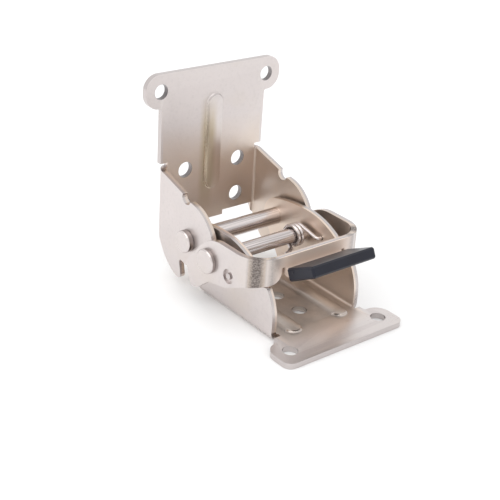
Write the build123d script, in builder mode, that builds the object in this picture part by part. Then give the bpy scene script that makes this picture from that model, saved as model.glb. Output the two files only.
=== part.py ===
"""Self-locking folding bracket: two nested sheet steel channels on one pivot.

Frame: +Z is up, -Y is forward and X = 0 is the middle of the bracket. The lower bracket lies
on its mounting face at Z = 0, and the origin is midway between its two ear holes. The upper
bracket's mounting face is upright and meets the lower one's at Y = corner_y. Both brackets
are drawn in the same way, in a frame of their own: "along" runs away from that corner, and
"rise" is the height above the mounting face. Sizes named "ahead" are also from the corner.
"""

import os
from math import acos, atan2, cos, degrees, hypot, radians, sin, sqrt

from build123d import *

os.makedirs("parts", exist_ok=True)

# Sheet and pivot
sheet = 2.3                      # thickness of every plate, flange and strap
bend_inner_radius = 1.0
pivot_offset = 22.0              # from the pivot axis to either mounting face
fold_angle = 90.0                # travel from a right angle to flat
running_fit = 0.05               # radial gap between a pin and the hole it turns in
face_gap = 0.1                   # between flat faces that slide on each other
stop_gap = 0.3                   # between a stop and what it stops

# Upper bracket
upper_half_width = 25.4
upper_edge = 19.9                # lower edge of the plate
upper_flange_end = 45.5
upper_length = 83.8
tongue_reach = 2.0
tongue_half_width = 6.8
rim_radius = 16.6                # edge of the flange round the pivot
heel_radius = 20.0               # back of the flange, below the pivot
rim_start_angle = 150.0          # rim's ends and middle, round the pivot
rim_middle_angle = 70.0
recess_radius = 11.0             # floor of the recess that the lever pin travels in
recess_overcut = 8.0             # how far the recess is cut clear of the heel
recess_clear_angle = 130.0       # direction that the recess opens in
recess_corner_radius = 1.2
hook_tip_radius = 2.0
rim_tip_radius = 1.2
detent_radius = 2.7
detent_centre_radius = 17.5
detent_angle = -5.5              # from the along direction, round the pivot
flange_shoulder_along = 40.5
hook_lean = 12.0                 # lean of the hook's wall
upper_rib_half_width = 4.3
upper_rib_start = 31.0
upper_rib_end = 73.0
upper_hole_radius = 3.3
upper_hole_spacing_x = 26.6
upper_hole_low = 26.4
upper_hole_high = 42.3

# Lower bracket
nest_gap = 1.2                   # between the flanges of the two brackets, each side
lower_flange_end = 71.4
lower_length = 90.4
lower_rim_radius = 7.5           # round end of the flange about the pivot
crown_along = 40.0               # highest point of the flange's edge
crown_rise = 31.7
crown_back_radius = 82.0
crown_front_radius = 33.0
seat_back_along = 62.9           # seat in the flange's edge, under the lever's cross bar
seat_back_rise = 19.4
seat_front_along = 66.9
seat_front_rise = 20.5
seat_wall_along = 62.4
seat_corner_radius = 0.8
nose_foot_rise = 7.0             # the flange's front edge is upright below this
nose_middle_along = 70.2
nose_middle_rise = 14.3
lower_rib_half_width = 4.0
lower_rib_offset = 11.5
lower_rib_start = 33.0
lower_rib_end = 75.6
lower_hole_radius = 3.0
lower_hole_near = 48.5
lower_hole_far = 62.1

# Ears of both brackets
upper_ear_length = 13.8
lower_ear_length = 14.5
ear_reach = 7.4                  # beyond the side of the bracket
ear_root_radius = 1.0
upper_ear_corner = 6.2
lower_ear_back_corner = 6.0
lower_ear_front_corner = 3.6
ear_hole_inset = 0.45            # centre of the ear hole beyond the side of the bracket
ear_hole_radius = 3.0
upper_ear_hole_setback = 7.0     # from the end of the bracket
lower_ear_hole_setback = 7.6
bend_relief = 1.6                # length of the notch at the end of each flange

# Pressed ribs
rib_height = 1.2
rib_wall_angle = 40.0

# Main pivot rivet
pivot_radius = 3.5
pivot_head_radius = 4.5
pivot_head_height = 2.6
rivet_head_chamfer = 0.5
washer_radius = 5.5

# Release lever
lever_gap = 0.5                  # between the upper flange and the lever's arm
pin_ahead = 17.2                 # lever pin ahead of the pivot axis
pin_drop = 0.6                   # lever pin below the pivot axis
pin_radius = 3.0
pin_end_radius = 2.5             # turned-down end riveted into the arm
pin_head_radius = 5.0
pin_head_height = 1.9
lever_top = 31.6
bar_height = 10.6
bar_front = 67.5                 # front face of the cross bar, ahead of the upper mounting face
lever_corner_radius = 9.4        # inside the strap's corner
lever_shoulder_ahead = 39.3
lever_shoulder_radius = 16.0
tail_top_ahead = 25.0
tail_top_rise = 15.4
tail_top_radius = 2.5
tail_tip_ahead = 28.8
tail_tip_rise = 6.3
tail_tip_radius = 2.0
tail_heel_ahead = 33.0
tail_heel_rise = 7.0
tail_heel_radius = 1.5
tail_root_ahead = 39.9
tail_root_rise = 12.7
tail_root_radius = 6.0
arm_under_ahead = 50.4
arm_under_rise = 14.8
arm_under_radius = 10.0
bar_root_ahead = 59.2
bar_root_rise = 18.9
bar_root_radius = 10.0
dimple_ahead = 51.8
dimple_rise = 20.3
dimple_radius = 2.9              # ring pressed in round a button
dimple_button_radius = 1.3
dimple_boss_radius = 2.7
dimple_depth = 1.2

# Tab and handle
tab_half_width = 14.0
tab_slot = 1.5
tab_slot_corner = 5.0            # round corner where the slot opens at the bar's lower edge
tab_bend_radius = 1.2
tab_bend_rise = 27.35
tab_tilt = 26.5
tab_length = 13.4
handle_half_width = 15.5
handle_start = 1.4               # from the tab's bend to the sleeve
handle_length = 14.5
handle_back_thickness = 5.2
handle_front_thickness = 4.4
handle_chamfer = 0.7
handle_fit = 0.05

# Torsion spring
wire_radius = 0.75
spring_gap = 0.35                # between the lever pin and the coil
spring_side_gap = 1.4            # between the coil and the flange
wire_sides = 6                   # the wire is drawn with flat facets
spring_pitch = 1.75
spring_full_turns = 2
anchor_ahead = 50.3
anchor_rise = 23.3
anchor_fit = 0.2
spring_leg_run = 8.0             # stretch of the leg under the lever pin
spring_leg_bend = 2.2
spring_leg_rise = 23.0           # height where the leg meets the cross bar
leg_lap = 0.5                    # of each leg into the end of the coil

# Sizes worked out from the ones above
bend_outer_radius = bend_inner_radius + sheet
lower_half_width = upper_half_width - sheet - nest_gap
pin_offset = hypot(pin_ahead, pin_drop)
pin_angle = 90.0 + degrees(atan2(pin_drop, pin_ahead))
corner_y = lower_length - lower_ear_hole_setback
pivot_y = corner_y - pivot_offset
pin_y = pivot_y - pin_ahead
pin_z = pivot_offset - pin_drop
anchor_y = corner_y - anchor_ahead
stop_reach = pin_radius + stop_gap
upper_tongue_edge = upper_edge - tongue_reach
lower_edge = 2 * pivot_offset - upper_tongue_edge + stop_gap
lever_inner = upper_half_width + lever_gap
lever_outer = lever_inner + sheet
bar_back = bar_front - sheet
bar_bottom = lever_top - bar_height

# Frames of the two brackets: x across, y along, z rising from the mounting face
faces_meet = (0, corner_y, 0)
upper_frame = Plane(origin=faces_meet, x_dir=(1, 0, 0), z_dir=(0, -1, 0))
lower_frame = Plane(origin=faces_meet, x_dir=(-1, 0, 0), z_dir=(0, 0, 1))

# Views of the lever: from above, and from its side with x forward and y up
plan_view = Plane(origin=faces_meet)
forward_view = Plane(origin=faces_meet, x_dir=(0, -1, 0), z_dir=(-1, 0, 0))


def side_frame(frame):
    """Plane of a bracket's side view: x along, y rising."""
    return Plane(origin=frame.origin, x_dir=frame.y_dir, z_dir=frame.y_dir.cross(frame.z_dir))


def round_pivot(radius, angle):
    """Point of the side view at a radius and an angle round the pivot axis."""
    turn = radians(angle)
    return (pivot_offset + radius * cos(turn), pivot_offset + radius * sin(turn))


def wall_point(radius, angle, shift):
    """Where a wall at this angle, shifted to its left, meets a circle round the pivot axis."""
    turn = radians(angle)
    run = sqrt(radius**2 - shift**2)
    along = pivot_offset + run * cos(turn) - shift * sin(turn)
    rise = pivot_offset + run * sin(turn) + shift * cos(turn)
    return (along, rise)


def tangent_angle(point, radius):
    """Angle round the pivot where a line from the point touches the circle, on its near side."""
    along = point[0] - pivot_offset
    rise = point[1] - pivot_offset
    spread = degrees(acos(radius / hypot(along, rise)))
    return degrees(atan2(rise, along)) % 360 - spread


def flange_blanks(frame, half_width, end, height):
    """Both flanges with their round bends, from the corner to the end along the bracket."""
    section = Plane(origin=frame.origin, x_dir=frame.z_dir.cross(frame.y_dir), z_dir=frame.y_dir)
    inside = half_width - sheet
    with BuildSketch(section) as profile:
        with BuildLine():
            outer = FilletPolyline(
                (-half_width, height), (-half_width, 0), (half_width, 0), (half_width, height),
                radius=bend_outer_radius,
            )
            inner = FilletPolyline(
                (-inside, height), (-inside, sheet), (inside, sheet), (inside, height),
                radius=bend_inner_radius,
            )
            Line(outer @ 0, inner @ 0)
            Line(outer @ 1, inner @ 1)
        make_face()
        Rectangle(2 * (half_width - bend_outer_radius), 3 * sheet, mode=Mode.SUBTRACT)
    extrude(profile.sketch, amount=end)


def eared_plate(frame, half_width, edge, flange_end, end, ear_length, back_corner, front_corner, hole_setback):
    """Plate between the bends and beyond them, with an ear each side and the ears' holes."""
    ear_middle = end - ear_length / 2
    wide_start = flange_end + bend_relief
    with BuildSketch(frame) as blank:
        with Locations((0, edge)):
            Rectangle(2 * (half_width - bend_outer_radius), end - edge, align=(Align.CENTER, Align.MIN))
        with Locations((0, wide_start)):
            Rectangle(2 * half_width, end - wide_start, align=(Align.CENTER, Align.MIN))
        with Locations((0, ear_middle)):
            Rectangle(2 * (half_width + ear_reach), ear_length)
        for across in (-1, 1):
            for reach, along, radius in (
                (0, end - ear_length, ear_root_radius),
                (ear_reach, end - ear_length, back_corner),
                (ear_reach, end, front_corner),
            ):
                corner = Vector(across * (half_width + reach), along)
                fillet(blank.vertices().sort_by_distance(corner)[0], radius)
    extrude(blank.sketch, amount=sheet)
    with BuildSketch(frame) as openings:
        with Locations((0, end - hole_setback)):
            with GridLocations(2 * (half_width + ear_hole_inset), 0, 2, 1):
                Circle(ear_hole_radius)
    extrude(openings.sketch, amount=sheet, mode=Mode.SUBTRACT)


def pressed_rib(frame, across, half_width, start, end):
    """Rib pressed up from the mounting side: raised inside, hollow outside."""
    place = Location((across, (start + end) / 2), 90)
    with BuildSketch(frame.offset(sheet)) as raised:
        with Locations(place):
            SlotOverall(end - start, 2 * half_width)
    extrude(raised.sketch, amount=rib_height, taper=rib_wall_angle)
    with BuildSketch(frame) as hollow:
        with Locations(place):
            SlotOverall(end - start - sheet, 2 * half_width - sheet)
    extrude(hollow.sketch, amount=rib_height, taper=rib_wall_angle, mode=Mode.SUBTRACT)


def cross_hole(radius, y, z, half_length):
    """Hole along X through everything within half_length of the middle."""
    with BuildSketch(Plane.YZ) as hole:
        with Locations((y, z)):
            Circle(radius)
    extrude(hole.sketch, amount=half_length, both=True, mode=Mode.SUBTRACT)


# Upper bracket: plate with two ears, and flanges with a rim, a recess and a hook
pin_seat_angle = pin_angle + fold_angle
hook_wall_angle = 180.0 - hook_lean
seat_turn = radians(pin_seat_angle - hook_wall_angle)
hook_wall_shift = stop_reach + pin_offset * sin(seat_turn)
heel_angle = tangent_angle((upper_edge, 0), heel_radius)
detent_centre = round_pivot(detent_centre_radius, detent_angle)
recess_clear_radius = heel_radius + recess_overcut

with BuildPart() as upper_bracket:
    flange_blanks(upper_frame, upper_half_width, upper_flange_end, 2 * pivot_offset)
    with BuildSketch(side_frame(upper_frame).offset(-upper_half_width)) as upper_outline:
        with BuildLine():
            edge_corner = (upper_edge, 0)
            heel_start = round_pivot(heel_radius, heel_angle)
            heel_middle = round_pivot(heel_radius, (heel_angle + 180) / 2)
            heel_end = round_pivot(heel_radius, 180)
            rim_start = round_pivot(rim_radius, rim_start_angle)
            rim_middle = round_pivot(rim_radius, rim_middle_angle)
            rim_end = round_pivot(rim_radius, detent_angle)
            shoulder = (flange_shoulder_along, detent_centre[1] - detent_radius)
            Line(edge_corner, heel_start)
            ThreePointArc(heel_start, heel_middle, heel_end)
            Line(heel_end, rim_start)
            ThreePointArc(rim_start, rim_middle, rim_end)
            Polyline(rim_end, shoulder, (upper_flange_end, 0), edge_corner)
        make_face()
        with Locations(detent_centre):
            Circle(detent_radius, mode=Mode.SUBTRACT)
        with BuildLine():
            shoulder_foot = wall_point(recess_radius, pin_angle, -stop_reach)
            shoulder_far = wall_point(recess_clear_radius, pin_angle, -stop_reach)
            hook_far = wall_point(recess_clear_radius, hook_wall_angle, hook_wall_shift)
            hook_foot = wall_point(recess_radius, hook_wall_angle, hook_wall_shift)
            recess_middle = round_pivot(recess_radius, (pin_angle + pin_seat_angle) / 2)
            recess_far = round_pivot(2 * recess_clear_radius, recess_clear_angle)
            Polyline(shoulder_foot, shoulder_far, recess_far, hook_far, hook_foot)
            ThreePointArc(hook_foot, recess_middle, shoulder_foot)
        make_face(mode=Mode.SUBTRACT)
        hook_tip = wall_point(heel_radius, hook_wall_angle, hook_wall_shift)
        rim_tip = wall_point(rim_radius, pin_angle, -stop_reach)
        for corner, radius in (
            (hook_foot, recess_corner_radius),
            (shoulder_foot, recess_corner_radius),
            (hook_tip, hook_tip_radius),
            (rim_tip, rim_tip_radius),
        ):
            fillet(upper_outline.vertices().sort_by_distance(Vector(*corner))[0], radius)
    extrude(amount=2 * upper_half_width, mode=Mode.INTERSECT)
    eared_plate(
        upper_frame, upper_half_width, upper_edge, upper_flange_end, upper_length,
        upper_ear_length, upper_ear_corner, upper_ear_corner, upper_ear_hole_setback,
    )
    with BuildSketch(upper_frame):
        with Locations((0, upper_tongue_edge)):
            Rectangle(2 * tongue_half_width, 2 * tongue_reach, align=(Align.CENTER, Align.MIN))
    extrude(amount=sheet)
    pressed_rib(upper_frame, 0, upper_rib_half_width, upper_rib_start, upper_rib_end)
    with BuildSketch(upper_frame):
        with Locations((0, (upper_hole_low + upper_hole_high) / 2)):
            with GridLocations(upper_hole_spacing_x, upper_hole_high - upper_hole_low, 2, 2):
                Circle(upper_hole_radius)
    extrude(amount=sheet, mode=Mode.SUBTRACT)
    cross_hole(pivot_radius + running_fit, pivot_y, pivot_offset, upper_half_width)
upper_bracket.part.label = "upper_bracket"
export_step(upper_bracket.part, "parts/upper_bracket.step")

# Lower bracket: narrower channel inside the upper one
lower_tangent = tangent_angle((lower_edge, sheet), lower_rim_radius)
crown_back_centre = crown_rise - crown_back_radius
rim_top_angle = degrees(atan2(pivot_offset - crown_back_centre, pivot_offset - crown_along))
crown_middle_turn = radians((90 + rim_top_angle) / 2)

with BuildPart() as lower_bracket:
    flange_blanks(lower_frame, lower_half_width, lower_flange_end, 2 * pivot_offset)
    with BuildSketch(side_frame(lower_frame).offset(-lower_half_width)) as lower_outline:
        with BuildLine():
            rim_top = round_pivot(lower_rim_radius, rim_top_angle)
            rim_back = round_pivot(lower_rim_radius, (rim_top_angle + lower_tangent) / 2)
            rim_foot = round_pivot(lower_rim_radius, lower_tangent)
            crown = (crown_along, crown_rise)
            crown_middle = (
                crown_along + crown_back_radius * cos(crown_middle_turn),
                crown_back_centre + crown_back_radius * sin(crown_middle_turn),
            )
            wall_run = seat_wall_along - crown_along
            wall_drop = crown_front_radius - sqrt(crown_front_radius**2 - wall_run**2)
            half_drop = crown_front_radius - sqrt(crown_front_radius**2 - (wall_run / 2) ** 2)
            seat_wall = (seat_wall_along, crown_rise - wall_drop)
            seat_back = (seat_back_along, seat_back_rise)
            seat_front = (seat_front_along, seat_front_rise)
            nose_foot = (lower_flange_end, nose_foot_rise)
            Polyline(rim_foot, (lower_edge, sheet), (lower_edge, 0), (lower_flange_end, 0), nose_foot)
            ThreePointArc(nose_foot, (nose_middle_along, nose_middle_rise), seat_front)
            Polyline(seat_front, seat_back, seat_wall)
            ThreePointArc(seat_wall, (crown_along + wall_run / 2, crown_rise - half_drop), crown)
            ThreePointArc(crown, crown_middle, rim_top)
            ThreePointArc(rim_top, rim_back, rim_foot)
        make_face()
        for corner in (seat_wall, seat_back, seat_front):
            fillet(lower_outline.vertices().sort_by_distance(Vector(*corner))[0], seat_corner_radius)
    extrude(amount=2 * lower_half_width, mode=Mode.INTERSECT)
    eared_plate(
        lower_frame, lower_half_width, lower_edge, lower_flange_end, lower_length,
        lower_ear_length, lower_ear_back_corner, lower_ear_front_corner, lower_ear_hole_setback,
    )
    for side in (-1, 1):
        pressed_rib(lower_frame, side * lower_rib_offset, lower_rib_half_width, lower_rib_start, lower_rib_end)
    with BuildSketch(lower_frame):
        with Locations((0, lower_hole_near), (0, lower_hole_far)):
            Circle(lower_hole_radius)
    extrude(amount=sheet, mode=Mode.SUBTRACT)
    cross_hole(pivot_radius, pivot_y, pivot_offset, lower_half_width)
    cross_hole(pin_radius + running_fit, pin_y, pin_z, lower_half_width)
    with BuildSketch(Plane.YZ):
        with Locations((anchor_y, anchor_rise)):
            Circle(wire_radius + anchor_fit)
    extrude(amount=lower_half_width, mode=Mode.SUBTRACT)
lower_bracket.part.label = "lower_bracket"
export_step(lower_bracket.part, "parts/lower_bracket.step")


def riveted_pin(radius, body_half_length, end_radius, head_inner, head_radius, head_height):
    """Pin along X about its own axis, with a chamfered head each end."""
    head_outer = head_inner + head_height
    rim = head_radius - rivet_head_chamfer
    with BuildSketch(Plane.XZ) as half_section:
        Rectangle(body_half_length, radius, align=(Align.MIN, Align.MIN))
        Rectangle(head_inner, end_radius, align=(Align.MIN, Align.MIN))
        with BuildLine():
            Polyline(
                (head_inner, 0), (head_outer, 0), (head_outer, rim),
                (head_outer - rivet_head_chamfer, head_radius), (head_inner, head_radius), close=True,
            )
        make_face()
    revolve(half_section.sketch, axis=Axis.X)
    mirror(about=Plane.YZ)


# Main pivot rivet: carried by the lower flanges, the upper bracket turns on it
pivot_head_inner = upper_half_width + face_gap
with BuildPart() as pivot_blank:
    riveted_pin(
        pivot_radius, lower_half_width, pivot_radius, pivot_head_inner, pivot_head_radius, pivot_head_height
    )
pivot_rivet = Pos(0, pivot_y, pivot_offset) * pivot_blank.part
pivot_rivet.label = "pivot_rivet"
export_step(pivot_rivet, "parts/pivot_rivet.step")

# Washers that keep the flanges of the two brackets apart
for side, name in ((-1, "pivot_washer_left"), (1, "pivot_washer_right")):
    washer_plane = Plane(origin=(side * lower_half_width, pivot_y, pivot_offset), z_dir=(side, 0, 0))
    with BuildPart() as washer:
        with BuildSketch(washer_plane):
            Circle(washer_radius)
            Circle(pivot_radius + running_fit, mode=Mode.SUBTRACT)
        extrude(amount=nest_gap - face_gap)
    washer.part.label = name
    export_step(washer.part, f"parts/{name}.step")

# Lever pin: turned-down ends are riveted over the lever's arms
with BuildPart() as pin_blank:
    riveted_pin(pin_radius, lever_inner, pin_end_radius, lever_outer, pin_head_radius, pin_head_height)
lever_pin = Pos(0, pin_y, pin_z) * pin_blank.part
lever_pin.label = "lever_pin"
export_step(lever_pin, "parts/lever_pin.step")

# Release lever: one strap bent to a U, with a tail behind each arm and a tab in the middle
tab_bend_centre = Vector(bar_front + tab_bend_radius, tab_bend_rise)
tab_direction = Vector(cos(radians(tab_tilt)), sin(radians(tab_tilt)))
tab_normal = Vector(-tab_direction.Y, tab_direction.X)

with BuildPart() as release_lever:
    with BuildSketch(plan_view):
        with BuildLine():
            strap_back = -tail_top_ahead + sheet
            outer = FilletPolyline(
                (-lever_outer, strap_back), (-lever_outer, -bar_front),
                (lever_outer, -bar_front), (lever_outer, strap_back),
                radius=lever_corner_radius + sheet,
            )
            inner = FilletPolyline(
                (-lever_inner, strap_back), (-lever_inner, -bar_back),
                (lever_inner, -bar_back), (lever_inner, strap_back),
                radius=lever_corner_radius,
            )
            Line(outer @ 0, inner @ 0)
            Line(outer @ 1, inner @ 1)
        make_face()
    extrude(amount=lever_top)
    with BuildSketch(forward_view.offset(-lever_outer)) as lever_outline:
        with BuildLine():
            Polyline(
                (bar_front, lever_top), (lever_shoulder_ahead, lever_top), (tail_top_ahead, tail_top_rise),
                (tail_tip_ahead, tail_tip_rise), (tail_heel_ahead, tail_heel_rise),
                (tail_root_ahead, tail_root_rise), (arm_under_ahead, arm_under_rise),
                (bar_root_ahead, bar_root_rise), (bar_front, bar_bottom), close=True,
            )
        make_face()
        corners = {
            (lever_shoulder_ahead, lever_top): lever_shoulder_radius,
            (tail_top_ahead, tail_top_rise): tail_top_radius,
            (tail_tip_ahead, tail_tip_rise): tail_tip_radius,
            (tail_heel_ahead, tail_heel_rise): tail_heel_radius,
            (tail_root_ahead, tail_root_rise): tail_root_radius,
            (arm_under_ahead, arm_under_rise): arm_under_radius,
            (bar_root_ahead, bar_root_rise): bar_root_radius,
        }
        for corner, radius in corners.items():
            fillet(lever_outline.vertices().sort_by_distance(Vector(*corner))[0], radius)
    extrude(amount=2 * lever_outer, mode=Mode.INTERSECT)
    slot_side = tab_half_width + tab_slot
    with BuildSketch(Plane.XZ.offset(bar_back - lever_corner_radius - corner_y)):
        with Locations((0, tab_bend_rise)):
            Rectangle(2 * slot_side, bar_height, align=(Align.CENTER, Align.MAX))
        with BuildLine():
            corner_out = (slot_side + tab_slot_corner, bar_bottom)
            corner_up = (slot_side, bar_bottom + tab_slot_corner)
            RadiusArc(corner_out, corner_up, tab_slot_corner)
            below = bar_bottom - sheet
            Polyline(corner_up, (slot_side, below), (slot_side + tab_slot_corner, below), corner_out)
        make_face()
        mirror(about=Plane.YZ)
    extrude(amount=lever_corner_radius + sheet, mode=Mode.SUBTRACT)
    with BuildSketch(forward_view):
        with BuildLine():
            wall_inner = Vector(bar_front, tab_bend_rise)
            wall_outer = Vector(bar_back, tab_bend_rise)
            inner_bend = CenterArc(tab_bend_centre, tab_bend_radius, 180, 90 + tab_tilt)
            outer_bend = CenterArc(tab_bend_centre, tab_bend_radius + sheet, 180, 90 + tab_tilt)
            inner_end = inner_bend @ 1 + tab_direction * tab_length
            outer_end = outer_bend @ 1 + tab_direction * tab_length
            Line(wall_inner, wall_outer)
            Polyline(inner_bend @ 1, inner_end, outer_end, outer_bend @ 1)
        make_face()
    extrude(amount=tab_half_width, both=True)
    for side in (-1, 1):
        dimple_middle = (side * lever_outer, corner_y - dimple_ahead, dimple_rise)
        arm_face = Plane(origin=dimple_middle, x_dir=(0, 1, 0), z_dir=(side, 0, 0))
        with BuildSketch(arm_face.offset(-sheet)):
            Circle(dimple_boss_radius)
        extrude(amount=-dimple_depth)
        with BuildSketch(arm_face):
            Circle(dimple_radius)
            Circle(dimple_button_radius, mode=Mode.SUBTRACT)
        extrude(amount=-dimple_depth, mode=Mode.SUBTRACT)
    cross_hole(pin_end_radius, pin_y, pin_z, lever_outer)
release_lever.part.label = "release_lever"
export_step(release_lever.part, "parts/release_lever.step")

# Handle sleeve over the tab
tab_root = tab_bend_centre + (tab_direction.rotate(Axis.Z, -90)) * (tab_bend_radius + sheet / 2)
handle_back = tab_root + tab_direction * handle_start
handle_front = handle_back + tab_direction * handle_length
handle_top = tab_normal * (handle_back_thickness / 2)
handle_plane = Plane(
    origin=forward_view.from_local_coords((handle_back.X, handle_back.Y, 0)),
    x_dir=(1, 0, 0),
    z_dir=(0, -tab_direction.X, tab_direction.Y),
)
with BuildPart() as handle_sleeve:
    with BuildSketch(forward_view):
        with BuildLine():
            Polyline(
                handle_back + handle_top,
                handle_back - handle_top,
                handle_front + handle_top - tab_normal * handle_front_thickness,
                handle_front + handle_top,
                close=True,
            )
        make_face()
    extrude(amount=handle_half_width, both=True)
    back_face = handle_sleeve.faces().sort_by_distance(handle_plane.origin)[0]
    chamfer(handle_sleeve.edges() - back_face.edges(), handle_chamfer)
    with BuildSketch(handle_plane):
        Rectangle(2 * (tab_half_width + handle_fit), sheet + 2 * handle_fit)
    extrude(amount=tab_length - handle_start + handle_fit, mode=Mode.SUBTRACT)
handle_sleeve.part.label = "handle_sleeve"
export_step(handle_sleeve.part, "parts/handle_sleeve.step")

# Torsion spring on the lever pin
coil_radius = pin_radius + spring_gap + wire_radius
anchor_run = anchor_ahead - (pivot_offset + pin_ahead)
anchor_lift = anchor_rise - pin_z
anchor_distance = hypot(anchor_run, anchor_lift)
leave_angle = degrees(atan2(anchor_lift, anchor_run)) + degrees(acos(coil_radius / anchor_distance))
coil_turns = spring_full_turns + (270.0 - leave_angle) / 360.0
coil_right = lower_half_width - sheet - spring_side_gap - wire_radius
coil_left = coil_right - coil_turns * spring_pitch
coil_bottom = pin_z - coil_radius
coil_plane = Plane(origin=(coil_left, pin_y, pin_z), x_dir=(0, 0, -1), z_dir=(1, 0, 0))
coil = coil_plane * Helix(spring_pitch, coil_turns * spring_pitch, coil_radius)
coil_start = coil @ 0
coil_end = coil @ 1
leg_across = coil_left - spring_leg_run
leg_turn = pin_y - 2 * spring_leg_bend

with BuildPart() as torsion_spring:
    with BuildSketch(Plane(origin=coil_start, z_dir=coil % 0)):
        RegularPolygon(wire_radius, wire_sides)
    sweep(path=coil, is_frenet=True)
    with BuildLine() as long_leg:
        FilletPolyline(
            (coil_left, pin_y + leg_lap, coil_bottom),
            (coil_left, leg_turn, coil_bottom),
            (leg_across, leg_turn, coil_bottom),
            (leg_across, corner_y - bar_back + wire_radius + stop_gap, spring_leg_rise),
            radius=spring_leg_bend,
        )
    with BuildSketch(Plane(origin=long_leg.line @ 0, z_dir=long_leg.line % 0)):
        RegularPolygon(wire_radius, wire_sides)
    sweep(path=long_leg.line)
    anchor_bend = Vector(coil_right, anchor_y, anchor_rise)
    with BuildLine() as short_leg:
        FilletPolyline(
            coil_end + (coil_end - anchor_bend).normalized() * leg_lap,
            anchor_bend,
            (lower_half_width - stop_gap, anchor_y, anchor_rise),
            radius=1.5 * wire_radius,
        )
    with BuildSketch(Plane(origin=short_leg.line @ 0, z_dir=short_leg.line % 0)):
        RegularPolygon(wire_radius, wire_sides)
    sweep(path=short_leg.line)
torsion_spring.part.label = "torsion_spring"
export_step(torsion_spring.part, "parts/torsion_spring.step")
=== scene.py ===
"""Folding bracket: dressed pieces, materials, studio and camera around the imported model."""
import math

import bmesh
import bpy
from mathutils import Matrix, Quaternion, Vector
from mathutils.bvhtree import BVHTree
from mathutils.geometry import area_tri


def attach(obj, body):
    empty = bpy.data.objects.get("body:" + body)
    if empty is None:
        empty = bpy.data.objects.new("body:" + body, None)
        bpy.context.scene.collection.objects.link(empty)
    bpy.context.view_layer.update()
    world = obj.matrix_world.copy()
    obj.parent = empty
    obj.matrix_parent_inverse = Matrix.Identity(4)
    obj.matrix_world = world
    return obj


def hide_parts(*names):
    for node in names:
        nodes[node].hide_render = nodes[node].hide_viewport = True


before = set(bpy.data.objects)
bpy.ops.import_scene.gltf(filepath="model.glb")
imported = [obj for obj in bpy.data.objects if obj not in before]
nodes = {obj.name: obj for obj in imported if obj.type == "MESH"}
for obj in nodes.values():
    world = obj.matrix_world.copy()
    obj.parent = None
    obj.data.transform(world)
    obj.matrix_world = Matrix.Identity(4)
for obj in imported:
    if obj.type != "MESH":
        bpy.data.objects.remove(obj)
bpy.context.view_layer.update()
scene = bpy.context.scene

MM = 0.001
SHEARED = "sheared"      # face attribute, 1 on a face that cuts through the sheet

# Broken edges and smoothing, in mm and degrees
SHEET_BREAK = 0.25
PIN_BREAK = 0.2
GRIP_BREAK = 0.15
BREAK_STEPS = 2
CREASE_ANGLE = 33.0      # from here an edge is broken
SMOOTH_ANGLE = 32.0      # up to here an edge is shaded smooth
FLAT_ANGLE = 0.6         # up to here two faces are one
RIB_FOOT = -0.05         # height over the sheet where a rib counts as begun
RIB_CREST = 0.3
OFF_RIB = -1.0
BROAD_FACE = 40.0        # square mm

# Places in the frame, in mm
CORNER_Y = 82.8          # the two mounting faces meet here
SHEET = 2.3
PIN_Y = 43.6             # lever pin
PIN_Z = 21.4
PIVOT_HEAD = (25.5, 27.5)        # across, without the broken edge
PIN_HEAD = (28.2, 29.5)
UPPER_RIB = (31.0, 73.0)         # heights of its ends
UPPER_RIB_HALF_WIDTH = 4.3
UPPER_HOLES = (                  # across, height, radius
    (25.85, 76.8, 3.0), (13.3, 26.4, 3.3), (13.3, 42.3, 3.3),
)
LOWER_RIBS = (-11.5, 11.5)       # across
LOWER_RIB_HALF_WIDTH = 4.0
LEVER_OUTER = 28.2
LEVER_BEND_RADIUS = 11.7         # outside
BAR_FRONT_Y = 15.3

# Torsion spring, in mm
WIRE_RADIUS = 0.75
COIL_RADIUS = 4.1
COIL_PITCH = 1.75
COIL_TURNS = 2.532
COIL_LEFT = 13.02
ANCHOR = Vector((17.45, 32.5, 23.3))
ANCHOR_END_X = 21.6
LEG_RUN = 8.0
LEG_REACH_Y = 39.2
LEG_TIP = (18.65, 23.0)          # Y and Z where the long leg meets the cross bar
LONG_LEG_BEND = 2.2
SHORT_LEG_BEND = 1.125
COIL_STEPS = 40                  # for each turn
BEND_STEPS = 8
WIRE_SIDES = 14


# Node helpers
def new_material(name):
    mat = bpy.data.materials.new(name)
    mat.use_nodes = True
    tree = mat.node_tree
    tree.nodes.clear()
    out = tree.nodes.new("ShaderNodeOutputMaterial")
    shader = tree.nodes.new("ShaderNodeBsdfPrincipled")
    tree.links.new(shader.outputs[0], out.inputs[0])
    return mat, tree, shader


def feed(tree, made, inputs):
    """Links the sockets among the inputs and sets the plain values."""
    for key, value in inputs.items():
        socket = made.inputs[key]
        if isinstance(value, bpy.types.NodeSocket):
            tree.links.new(value, socket)
        else:
            socket.default_value = (*value, 1.0) if socket.type == "RGBA" else value


def node(tree, kind, inputs=None, **settings):
    made = tree.nodes.new(kind)
    for key, value in settings.items():
        setattr(made, key, value)
    feed(tree, made, inputs or {})
    return made


def ramp(tree, source, stops):
    made = tree.nodes.new("ShaderNodeValToRGB")
    elements = made.color_ramp.elements
    while len(elements) < len(stops):
        elements.new(0.5)
    for element, (place, colour) in zip(elements, stops):
        element.position = place
        element.color = (*colour, 1.0)
    tree.links.new(source, made.inputs[0])
    return made.outputs[0]


def spread(tree, source, low, high, to_low, to_high):
    """The source's range from low to high, stretched to another range and clamped."""
    return node(tree, "ShaderNodeMapRange", {
        "Value": source, "From Min": low, "From Max": high, "To Min": to_low, "To Max": to_high,
    }).outputs["Result"]


def math_node(tree, operation, first, second):
    return node(tree, "ShaderNodeMath", {0: first, 1: second}, operation=operation).outputs[0]


def product(tree, first, second):
    return math_node(tree, "MULTIPLY", first, second)


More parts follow.
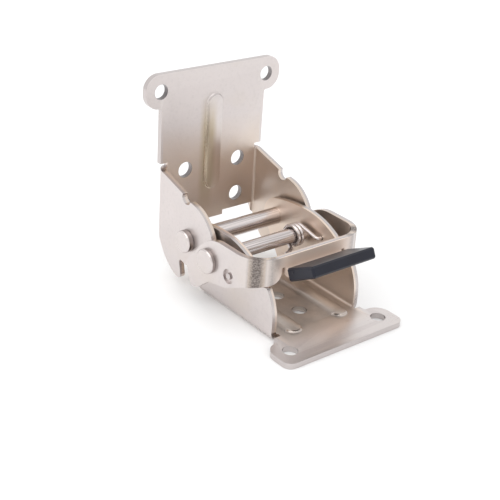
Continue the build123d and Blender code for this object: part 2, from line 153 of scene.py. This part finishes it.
def blended(tree, factor, first, second):
    """The first colour, going over to the second with the factor."""
    made = node(tree, "ShaderNodeMix", data_type="RGBA")
    feed(tree, made, {0: factor, 6: first, 7: second})      # 6 and 7 are its two colours
    return made.outputs[2]


def object_place(tree):
    return node(tree, "ShaderNodeTexCoord").outputs["Object"]


def coordinates(tree):
    """The X, Y and Z of the place in the frame, in metres."""
    return node(tree, "ShaderNodeSeparateXYZ", {0: object_place(tree)}).outputs


def sideways(tree, place):
    """The distance from the middle plane."""
    return node(tree, "ShaderNodeMath", {0: place["X"]}, operation="ABSOLUTE").outputs[0]


def noise(tree, scale, detail=4.0, roughness=0.5, stretch=(1, 1, 1), seed=0.0):
    mapping = node(tree, "ShaderNodeMapping", {
        "Vector": object_place(tree), "Scale": stretch, "Location": (seed, seed * 0.7, seed * 1.3),
    })
    return node(tree, "ShaderNodeTexNoise", {
        "Vector": mapping.outputs[0], "Scale": scale, "Detail": detail, "Roughness": roughness,
    }).outputs["Fac"]


def bump(tree, height, strength, distance, below=None):
    inputs = {"Height": height, "Strength": strength, "Distance": distance}
    if below is not None:
        inputs["Normal"] = below
    return node(tree, "ShaderNodeBump", inputs).outputs[0]


def window(tree, value, low, high, soft):
    """1 between low and high, falling to 0 over soft outside them."""
    rise = spread(tree, value, low - soft, low, 0.0, 1.0)
    fall = spread(tree, value, high, high + soft, 1.0, 0.0)
    return product(tree, rise, fall)


# Materials: the plating's colour, and the tones that staining and painted light and shade multiply
# it by
TINT = (0.690, 0.635, 0.622)
# Yellowed staining on the rib, darkened into painted shade for the rib's left slope
RIB_STAIN_AND_SHADE = (0.80, 0.73, 0.54)
# Painted light: a warmer, browner tone for light bounced around inside the recesses
RECESS_PAINTED_LIGHT = (1.06, 0.98, 0.86)
# Painted shade: the channel's floor darkened for shade and the reflection of the dark bracket above
FLOOR_PAINTED_SHADE = (0.56, 0.54, 0.50)
# Painted light: the channel's inside made lighter and warmer, as light bounced inside it
CHANNEL_PAINTED_LIGHT = (1.20, 1.09, 0.94)
# Painted dark reflection on the sides of the pins' heads
HEAD_SIDE_SHADE = (0.50, 0.48, 0.47)
# Painted shade inside the punched holes
BORE_SHADE = (0.22, 0.22, 0.23)
FAINT_STAIN = (0.95, 0.92, 0.84)

# Colours of their own
BURNISHED = (0.76, 0.71, 0.69)
# Painted light: a lighter, warmer colour for the cross bar's front, which the lamps hardly reach
BAR_PAINTED_LIGHT = (0.78, 0.64, 0.55)
# Painted dark reflection on the strap's bends, broken into spots
REFLECTION_SPOT_DARK = (0.11, 0.093, 0.085)
REFLECTION_SPOT_LIGHT = (0.36, 0.317, 0.30)
VINYL_DARK = (0.0080, 0.0088, 0.0165)
VINYL_LIGHT = (0.0120, 0.0130, 0.0235)
VINYL_SCUFF = (0.045, 0.046, 0.058)
PAPER = (0.97, 0.97, 0.97)

# Noise scales of the plating, from broad to fine
MARKS = 38.0
CLOUD = 55.0
PATCHES = 120.0
GRAIN = 300.0
SPECK = 750.0
STREAKS = 1400.0
SPOTS = 1700.0

FINE_BUMP = 0.0001       # m
BROAD_BUMP = 0.0002


def toned(*tones):
    """The tint times a tone: one number, or one for each channel."""
    return tuple(channel * tone for channel, tone in zip(TINT, tones * (3 // len(tones))))


def edge_wear(tree):
    """1 where an edge stands proud and handling has burnished it."""
    point = node(tree, "ShaderNodeNewGeometry").outputs["Pointiness"]
    return spread(tree, point, 0.53, 0.60, 0.0, 1.0)


def plated_colour(tree, seed, cloud, speck, worn, sheared):
    """Cloudy metal with specks, faint stains, burnished edges and darker cuts."""
    colour = ramp(tree, cloud, [(0.30, toned(0.96)), (0.70, toned(1.02))])
    specks = spread(tree, speck, 0.50, 0.72, 0.0, 0.45)
    colour = blended(tree, specks, colour, toned(0.86))
    marks = spread(tree, noise(tree, MARKS, 3.0, 0.5, seed=seed + 11.0), 0.55, 0.75, 0.0, 0.5)
    colour = blended(tree, marks, colour, toned(*FAINT_STAIN))
    colour = blended(tree, product(tree, worn, 0.5), colour, BURNISHED)
    return blended(tree, sheared, colour, toned(0.84))


def plated_roughness(tree, rough, cloud, grain, worn, sheared):
    """Rough along the grain, with the burnished edges and the cuts glossier."""
    level = spread(tree, grain, 0.3, 0.7, rough - 0.02, rough + 0.03)
    level = math_node(tree, "ADD", level, spread(tree, cloud, 0.3, 0.7, -0.03, 0.04))
    level = math_node(tree, "SUBTRACT", level, product(tree, worn, 0.10))
    return math_node(tree, "SUBTRACT", level, product(tree, sheared, 0.16))


def nickel(name, seed, rough=0.40, stains_and_shades=(), painted_reflection=None, painted_light_face=None, shank_streaks=None):
    """Nickel plate on rolled steel: warm satin, with grain, faint staining and burnished edges.

    The list holds masks with their tones: staining, and painted light and shade. The other
    functions give masks too, in argument order: painted dark reflection in spots on a bend's
    outside, painted light on a less metallic and rougher face, lengthwise light and dark streaks.
    """
    mat, tree, shader = new_material(name)
    cloud = noise(tree, CLOUD, 4.0, 0.5, seed=seed)
    grain = noise(tree, GRAIN, 4.0, 0.6, stretch=(1.0, 5.0, 5.0), seed=seed + 7.0)
    speck = noise(tree, SPECK, 3.0, 0.6, seed=seed + 3.0)
    worn = edge_wear(tree)
    sheared = node(tree, "ShaderNodeAttribute", attribute_name=SHEARED).outputs["Fac"]
    colour = plated_colour(tree, seed, cloud, speck, worn, sheared)
    level = plated_roughness(tree, rough, cloud, grain, worn, sheared)
    metal = 1.0

    patchy = spread(tree, noise(tree, PATCHES, 4.0, 0.6, seed=seed), 0.3, 0.7, 0.7, 1.0)
    for tone_mask, tone in stains_and_shades:
        colour = blended(tree, product(tree, tone_mask(tree), patchy), colour, toned(*tone))
    # Lengthwise light and dark streaks along the shanks
    if shank_streaks:
        lines = noise(tree, STREAKS, 2.0, 0.5, stretch=(0.012, 1.0, 1.0), seed=seed)
        streaked = ramp(tree, lines, [(0.38, toned(0.60)), (0.60, toned(1.12))])
        colour = blended(tree, shank_streaks(tree), colour, streaked)

    surface = bump(tree, grain, 0.05, FINE_BUMP)
    surface = bump(tree, speck, 0.05, FINE_BUMP, surface)
    surface = bump(tree, cloud, 0.14, BROAD_BUMP, surface)
    # Painted dark reflection bands on the bends, in spots, with a matching bump
    if painted_reflection:
        mask = painted_reflection(tree)
        spots = noise(tree, SPOTS, 2.0, 0.6, seed=seed + 5.0)
        spotty = ramp(tree, spots, [(0.36, REFLECTION_SPOT_DARK), (0.70, REFLECTION_SPOT_LIGHT)])
        colour = blended(tree, mask, colour, spotty)
        surface = bump(tree, product(tree, spots, mask), 0.16, BROAD_BUMP, surface)
    # Painted light on the cross bar's front, which is also made less metallic and rougher there
    if painted_light_face:
        mask = painted_light_face(tree)
        colour = blended(tree, mask, colour, BAR_PAINTED_LIGHT)
        level = math_node(tree, "ADD", level, product(tree, mask, 0.25))
        metal = math_node(tree, "SUBTRACT", metal, product(tree, mask, 0.75))
    feed(tree, shader, {
        "Base Color": colour, "Metallic": metal, "Roughness": level, "Normal": surface,
    })
    return mat


def between_flanges(tree):
    """The shanks of the two pins."""
    across = coordinates(tree)["X"]
    return product(tree, window(tree, across, -19.0 * MM, 19.0 * MM, 0.3 * MM), 0.85)


def head_side_shade(tree, span):
    """The side of a pin's head, up to the break of its edge at the end face, where a dark
    reflection is painted.
    """
    side = sideways(tree, coordinates(tree))
    return window(tree, side, span[0] * MM, span[1] * MM, 0.12 * MM)


def pivot_head_side_shade(tree):
    return head_side_shade(tree, PIVOT_HEAD)


def pin_head_side_shade(tree):
    return head_side_shade(tree, PIN_HEAD)


def box_mask(tree, x_range, y_range, z_range, softs):
    """1 inside a box given in mm, falling to 0 over a soft distance for each axis."""
    place = coordinates(tree)
    masks = [
        window(tree, place[axis], low * MM, high * MM, soft * MM)
        for axis, (low, high), soft in zip("XYZ", (x_range, y_range, z_range), softs)
    ]
    return product(tree, product(tree, masks[0], masks[1]), masks[2])


def rib_stain_and_shade(tree):
    """The yellowed strip along the upper bracket's rib, with painted shade on the rib's left slope.
    """
    return box_mask(tree, (-4.6, -1.2), (-30.0, 81.2), (35.0, 58.0), (2.4, 0.4, 14.0))


def upper_recess_painted_light(tree):
    """The inside of the upper bracket between its flanges, painted warmer and browner as light
    bounced inside it.
    """
    return box_mask(tree, (-24.2, 24.2), (-30.0, 81.2), (-10.0, 44.0), (0.3, 0.4, 18.0))


def lower_recess_painted_light(tree):
    """The inside of the lower bracket's channel, painted lighter and warmer as light bounced inside
    it.
    """
    return box_mask(tree, (-20.4, 20.4), (16.0, 90.0), (1.0, 40.0), (0.3, 16.0, 0.8))


def lower_floor_painted_shade(tree):
    """The deep part of the channel's floor, painted darker as shade and as the dark reflection of
    the bracket above it.
    """
    return box_mask(tree, (-18.0, 18.0), (11.0, 90.0), (1.0, 4.0), (2.0, 8.0, 0.8))


def lever_recess_painted_light(tree):
    """The inner faces of the lever's arms and cross bar, painted warmer as light bounced between
    them.
    """
    return box_mask(tree, (-26.6, 26.6), (17.0, 90.0), (-10.0, 60.0), (0.3, 0.3, 1.0))


def upper_bore_shade(tree):
    """The walls of the upper bracket's punched holes, with painted shade dark in the bore."""
    place = coordinates(tree)
    level = {"X": sideways(tree, place), "Z": place["Z"]}
    flat = node(tree, "ShaderNodeCombineXYZ", level).outputs[0]
    mask = 0.0
    for across, height, radius in UPPER_HOLES:
        centre = {0: flat, 1: (across * MM, 0, height * MM)}
        away = node(tree, "ShaderNodeVectorMath", centre, operation="DISTANCE").outputs["Value"]
        near = spread(tree, away, (radius + 0.04) * MM, (radius + 0.12) * MM, 1.0, 0.0)
        mask = math_node(tree, "MAXIMUM", mask, near)
    return mask


def bend_painted_reflection(tree):
    """Painted dark reflection on the outside of the strap's two bends, broken into spots: a dark
    band and a fainter one.
    """
    place = coordinates(tree)
    bend_start = (LEVER_OUTER - LEVER_BEND_RADIUS) * MM
    out = math_node(tree, "SUBTRACT", sideways(tree, place), bend_start)
    forward = math_node(tree, "SUBTRACT", (BAR_FRONT_Y + LEVER_BEND_RADIUS) * MM, place["Y"])
    turn = math_node(tree, "ARCTAN2", out, forward)
    dark = window(tree, turn, math.radians(40), math.radians(52), math.radians(14))
    faint = window(tree, turn, math.radians(11), math.radians(17), math.radians(9))
    both = math_node(tree, "MAXIMUM", dark, product(tree, faint, 0.5))
    return product(tree, both, 0.95)


def bar_face(tree):
    """The front of the lever's cross bar and the root of its tab, where light is painted."""
    place = coordinates(tree)
    across = window(tree, place["X"], -14.0 * MM, 14.0 * MM, 6.0 * MM)
    ahead = window(tree, place["Y"], -30.0 * MM, (BAR_FRONT_Y + 0.3) * MM, 0.4 * MM)
    return product(tree, across, ahead)


def black_plastic(name):
    """Dip-moulded vinyl: near-black navy, smooth skin with a soft sheen and scuffed edges."""
    mat, tree, shader = new_material(name)
    cloud = noise(tree, 90.0, 4.0, 0.5, seed=2.0)
    skin = noise(tree, 900.0, 2.0, 0.5, seed=5.0)
    scuff = noise(tree, 420.0, 5.0, 0.65, stretch=(1, 3, 3), seed=9.0)
    base = ramp(tree, cloud, [(0.3, VINYL_DARK), (0.7, VINYL_LIGHT)])
    surface = bump(tree, skin, 0.08, FINE_BUMP)
    feed(tree, shader, {
        "Base Color": blended(tree, spread(tree, scuff, 0.60, 0.78, 0, 0.30), base, VINYL_SCUFF),
        "Roughness": spread(tree, cloud, 0.3, 0.7, 0.27, 0.36),
        "Specular IOR Level": 0.32,
        "Normal": bump(tree, cloud, 0.2, 2 * BROAD_BUMP, surface),
    })
    return mat


MAT_UPPER = nickel(
    "nickel_upper", 1.0,
    stains_and_shades=[(upper_recess_painted_light, RECESS_PAINTED_LIGHT), (rib_stain_and_shade, RIB_STAIN_AND_SHADE), (upper_bore_shade, BORE_SHADE)],
)
MAT_LOWER = nickel("nickel_lower", 4.3, stains_and_shades=[(lower_recess_painted_light, CHANNEL_PAINTED_LIGHT), (lower_floor_painted_shade, FLOOR_PAINTED_SHADE)])
MAT_LEVER = nickel(
    "nickel_lever", 8.1, 0.36,
    stains_and_shades=[(lever_recess_painted_light, RECESS_PAINTED_LIGHT)], painted_reflection=bend_painted_reflection, painted_light_face=bar_face,
)
MAT_PIVOT = nickel(
    "nickel_pivot", 13.7, 0.22, stains_and_shades=[(pivot_head_side_shade, HEAD_SIDE_SHADE)], shank_streaks=between_flanges,
)
MAT_PIN = nickel(
    "nickel_pin", 21.3, 0.22, stains_and_shades=[(pin_head_side_shade, HEAD_SIDE_SHADE)], shank_streaks=between_flanges,
)
MAT_SPRING = nickel("nickel_spring", 17.9, 0.25)
MAT_HANDLE = black_plastic("black_vinyl")


# Dressed pieces
def mark_sheared(made):
    """Marks the faces that cut through the sheet, where the metal is thick behind them."""
    mark = made.faces.layers.float.new(SHEARED)
    tree = BVHTree.FromBMesh(made)
    largest = {}
    for corners in made.calc_loop_triangles():
        points = [corner.vert.co for corner in corners]
        area = area_tri(*points)
        if area > largest.get(corners[0].face, (0, None))[0]:
            largest[corners[0].face] = (area, sum(points, Vector()) / 3)
    for face, (_, middle) in largest.items():
        inward = -face.normal
        distance = tree.ray_cast(middle + inward * 0.02 * MM, inward)[3]
        face[mark] = float(distance is None or distance > (SHEET + 0.3) * MM)


def corner_weight(loop, on_crest):
    """How much a face counts in the normal at one of its corners."""
    area = loop.face.calc_area() / MM ** 2
    if not on_crest:
        return area
    return loop.calc_angle() * (2.0 if area > BROAD_FACE else 1.0)


def settle_normals(mesh, rib_height):
    """Weights the normal at each corner by face area, so that broad faces stay flat.

    On the crest of a rib the corner angle counts instead, which rounds the rib over.
    """
    made = bmesh.new()
    made.from_mesh(mesh)
    normals = [Vector((0, 0, 1))] * len(mesh.loops)
    for vert in made.verts:
        on_crest = rib_height(vert.co / MM) > RIB_CREST
        waiting = list(vert.link_loops)
        while waiting:
            group = [waiting.pop()]
            for loop in group:
                beside = [edge for edge in (loop.edge, loop.link_loop_prev.edge) if edge.smooth]
                faces = {face for edge in beside for face in edge.link_faces}
                found = [other for other in waiting if other.face in faces]
                waiting = [other for other in waiting if other.face not in faces]
                group.extend(found)
            total = Vector()
            for loop in group:
                total += loop.face.normal * corner_weight(loop, on_crest)
            for loop in group:
                normals[loop.index] = total.normalized()
    made.free()
    mesh.normals_split_custom_set(normals)


def smooth_by_angle(mesh, rib_height):
    """Smooth shading, with the creases above the limit kept sharp except on a pressed rib."""
    made = bmesh.new()
    made.from_mesh(mesh)
    limit = math.radians(SMOOTH_ANGLE)
    for face in made.faces:
        face.smooth = True
    for edge in made.edges:
        soft = edge.calc_face_angle(0.0) < limit or rib_height(edge_middle(edge)) > RIB_FOOT
        edge.smooth = len(edge.link_faces) == 2 and soft
    made.to_mesh(mesh)
    made.free()
    settle_normals(mesh, rib_height)


def no_rib(point):
    """The height over the sheet in a piece without ribs."""
    return OFF_RIB


def edge_middle(edge):
    """The middle of an edge, in mm."""
    return (edge.verts[0].co + edge.verts[1].co) / (2 * MM)


def piece_for(name, mesh, source, body, material, rib_height=no_rib):
    """An object of this mesh that stands for a CAD node."""
    smooth_by_angle(mesh, rib_height)
    mesh.materials.append(material)
    piece = bpy.data.objects.new(name, mesh)
    scene.collection.objects.link(piece)
    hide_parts(source)
    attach(piece, body)
    return piece


def rounded(made, edges, width):
    """Breaks the edges over a width in mm."""
    bmesh.ops.bevel(
        made, geom=edges, offset=width * MM, offset_type="OFFSET", segments=BREAK_STEPS,
        profile=0.5, affect="EDGES", clamp_overlap=True, miter_outer="ARC", loop_slide=True,
    )
    bmesh.ops.remove_doubles(made, verts=made.verts, dist=1e-6)


def creases(made, rib_height):
    """The edges off a rib that turn sharply."""
    limit = math.radians(CREASE_ANGLE)
    return [
        edge for edge in made.edges
        if len(edge.link_faces) == 2 and edge.calc_face_angle(0.0) > limit
        and rib_height(edge_middle(edge)) < RIB_FOOT
    ]


def dressed(name, source, body, material, edge_break, sheet=False, rib_height=no_rib):
    """A copy of a CAD node with its sheared edges broken and its pressed ribs softened."""
    mesh = bpy.data.meshes.new(name)
    made = bmesh.new()
    made.from_mesh(nodes[source].data)
    bmesh.ops.remove_doubles(made, verts=made.verts, dist=2e-6)
    flat = math.radians(FLAT_ANGLE)
    bmesh.ops.dissolve_limit(made, angle_limit=flat, verts=made.verts, edges=made.edges)
    if sheet:
        mark_sheared(made)
    rounded(made, creases(made, rib_height), edge_break)
    bmesh.ops.recalc_face_normals(made, faces=made.faces)
    made.to_mesh(mesh)
    made.free()
    return piece_for(name, mesh, source, body, material, rib_height)


def upper_rib_height(point):
    """Height over the sheet on the upper bracket's rib, or OFF_RIB."""
    low, high = UPPER_RIB
    inside = abs(point.x) < UPPER_RIB_HALF_WIDTH + 0.1 and low - 0.1 < point.z < high + 0.1
    height = CORNER_Y - SHEET - point.y
    return height if inside and RIB_FOOT < height < SHEET else OFF_RIB


def lower_rib_height(point):
    """Height over the sheet on one of the lower bracket's ribs, or OFF_RIB."""
    inside = min(abs(point.x - across) for across in LOWER_RIBS) < LOWER_RIB_HALF_WIDTH + 0.1
    height = point.z - SHEET
    return height if inside and RIB_FOOT < height < SHEET else OFF_RIB


dressed(
    "upper_bracket_plated", "upper_bracket", "upper", MAT_UPPER, SHEET_BREAK,
    sheet=True, rib_height=upper_rib_height,
)
dressed(
    "lower_bracket_plated", "lower_bracket", "lower", MAT_LOWER, SHEET_BREAK,
    sheet=True, rib_height=lower_rib_height,
)
dressed(
    "release_lever_plated", "release_lever", "lever", MAT_LEVER, SHEET_BREAK,
    sheet=True,
)
dressed("pivot_rivet_plated", "pivot_rivet", "lower", MAT_PIVOT, PIN_BREAK)
dressed("lever_pin_plated", "lever_pin", "lever", MAT_PIN, PIN_BREAK)
dressed("handle_vinyl", "handle_sleeve", "lever", MAT_HANDLE, GRIP_BREAK)
for washer in ("pivot_washer_left", "pivot_washer_right"):
    mesh = nodes[washer].data
    mesh.materials.clear()
    mesh.materials.append(MAT_PIN)


# Torsion spring
def with_round_corners(points, radius):
    """The polyline with each inner corner turned on an arc."""
    made = [points[0]]
    for before, corner, after in zip(points, points[1:], points[2:]):
        back = (before - corner).normalized()
        on = (after - corner).normalized()
        half = back.angle(on) / 2
        reach = radius / math.tan(half)
        centre = corner + (back + on).normalized() * (radius / math.sin(half))
        start = corner + back * reach - centre
        end = corner + on * reach - centre
        for step in range(BEND_STEPS + 1):
            made.append(centre + start.slerp(end, step / BEND_STEPS))
    made.append(points[-1])
    return made


def coil_points():
    """Points along the coil from left to right, in mm."""
    count = round(COIL_TURNS * COIL_STEPS)
    made = []
    for step in range(count + 1):
        turns = COIL_TURNS * step / count
        angle = turns * math.tau
        y = PIN_Y + COIL_RADIUS * math.sin(angle)
        z = PIN_Z - COIL_RADIUS * math.cos(angle)
        made.append(Vector((COIL_LEFT + turns * COIL_PITCH, y, z)))
    return made


def spring_mesh():
    """One round wire along the long leg, the coil and the short leg."""
    coil = coil_points()
    bottom = coil[0]
    tip = Vector((COIL_LEFT - LEG_RUN, *LEG_TIP))
    turn = Vector((COIL_LEFT, LEG_REACH_Y, bottom.z))
    foot = Vector((COIL_LEFT - LEG_RUN, LEG_REACH_Y, bottom.z))
    anchor_end = Vector((ANCHOR_END_X, *ANCHOR.yz))
    long_leg = with_round_corners([tip, foot, turn, bottom], LONG_LEG_BEND)
    short_leg = with_round_corners([coil[-1], ANCHOR, anchor_end], SHORT_LEG_BEND)
    path = long_leg[:-1] + coil + short_leg[1:]
    made = bmesh.new()
    side = Vector((0, 0, 1))
    rings = []
    for index, point in enumerate(path):
        ahead = (path[min(index + 1, len(path) - 1)] - path[max(index - 1, 0)]).normalized()
        side = (side - ahead * side.dot(ahead)).normalized()
        up = ahead.cross(side)
        ring = []
        for corner in range(WIRE_SIDES):
            angle = math.tau * corner / WIRE_SIDES
            away = (side * math.cos(angle) + up * math.sin(angle)) * WIRE_RADIUS
            ring.append(made.verts.new((point + away) * MM))
        rings.append(ring)
    for first, second in zip(rings, rings[1:]):
        for corner in range(WIRE_SIDES):
            after = (corner + 1) % WIRE_SIDES
            made.faces.new((first[corner], first[after], second[after], second[corner]))
    made.faces.new(rings[0])
    made.faces.new(rings[-1])
    bmesh.ops.recalc_face_normals(made, faces=made.faces)
    mesh = bpy.data.meshes.new("torsion_spring_wire")
    made.to_mesh(mesh)
    made.free()
    return mesh


piece_for(
    "torsion_spring_wire", spring_mesh(), "torsion_spring", "lower", MAT_SPRING,
)


# Floor and light, in metres
FLOOR_HALF = 3.0
FLOOR_DROP = 0.0001
LAMP_AIM = Vector((0, 0.043, 0.03))
LAMP_SIZE = 0.9


def plain_floor():
    """White paper just under the object, which keeps its shadow."""
    mesh = bpy.data.meshes.new("floor")
    corners = [(x * FLOOR_HALF, y * FLOOR_HALF, 0) for x, y in ((-1, -1), (1, -1), (1, 1), (-1, 1))]
    mesh.from_pydata(corners, [], [(0, 1, 2, 3)])
    floor = bpy.data.objects.new("floor", mesh)
    scene.collection.objects.link(floor)
    floor.location = (0, 0, -FLOOR_DROP)
    mat, tree, shader = new_material("floor_paper")
    feed(tree, shader, {"Base Color": PAPER, "Roughness": 0.9})
    mesh.materials.append(mat)


def area_light(name, place, power):
    """A soft square lamp that faces the middle of the object."""
    data = bpy.data.lights.new(name, "AREA")
    data.size = LAMP_SIZE
    data.energy = power
    lamp = bpy.data.objects.new(name, data)
    scene.collection.objects.link(lamp)
    lamp.location = place
    lamp.rotation_mode = "QUATERNION"
    lamp.rotation_quaternion = (LAMP_AIM - Vector(place)).to_track_quat("-Z", "Y")


def studio_world():
    """Even white light from all sides."""
    world = bpy.data.worlds.new("studio")
    scene.world = world
    world.use_nodes = True
    tree = world.node_tree
    tree.nodes.clear()
    out = tree.nodes.new("ShaderNodeOutputWorld")
    soft = node(tree, "ShaderNodeBackground", {"Color": (1.0, 1.0, 1.0), "Strength": 1.0})
    tree.links.new(soft.outputs[0], out.inputs[0])


plain_floor()
studio_world()
area_light("key_left", (-0.9, 0.18, 0.75), 2.5)
area_light("fill_top", (-0.1, -0.2, 1.1), 2.0)

# Camera at the photograph's place
FOCAL_LENGTH = 1057.41           # in the photo's pixels
PHOTO_WIDTH = 500.0
SENSOR_WIDTH = 36.0              # mm
cam_data = bpy.data.cameras.new("camera")
cam_data.sensor_width = SENSOR_WIDTH
cam_data.lens = FOCAL_LENGTH * SENSOR_WIDTH / PHOTO_WIDTH
cam_data.clip_start = 0.01
cam_data.clip_end = 20.0
camera = bpy.data.objects.new("camera", cam_data)
scene.collection.objects.link(camera)
camera.location = (-0.24678, -0.23817, 0.20562)
camera.rotation_mode = "QUATERNION"
camera.rotation_quaternion = Quaternion((0.808207, 0.486796, -0.197717, -0.265969))
scene.camera = camera
scene.view_settings.view_transform = "Standard"
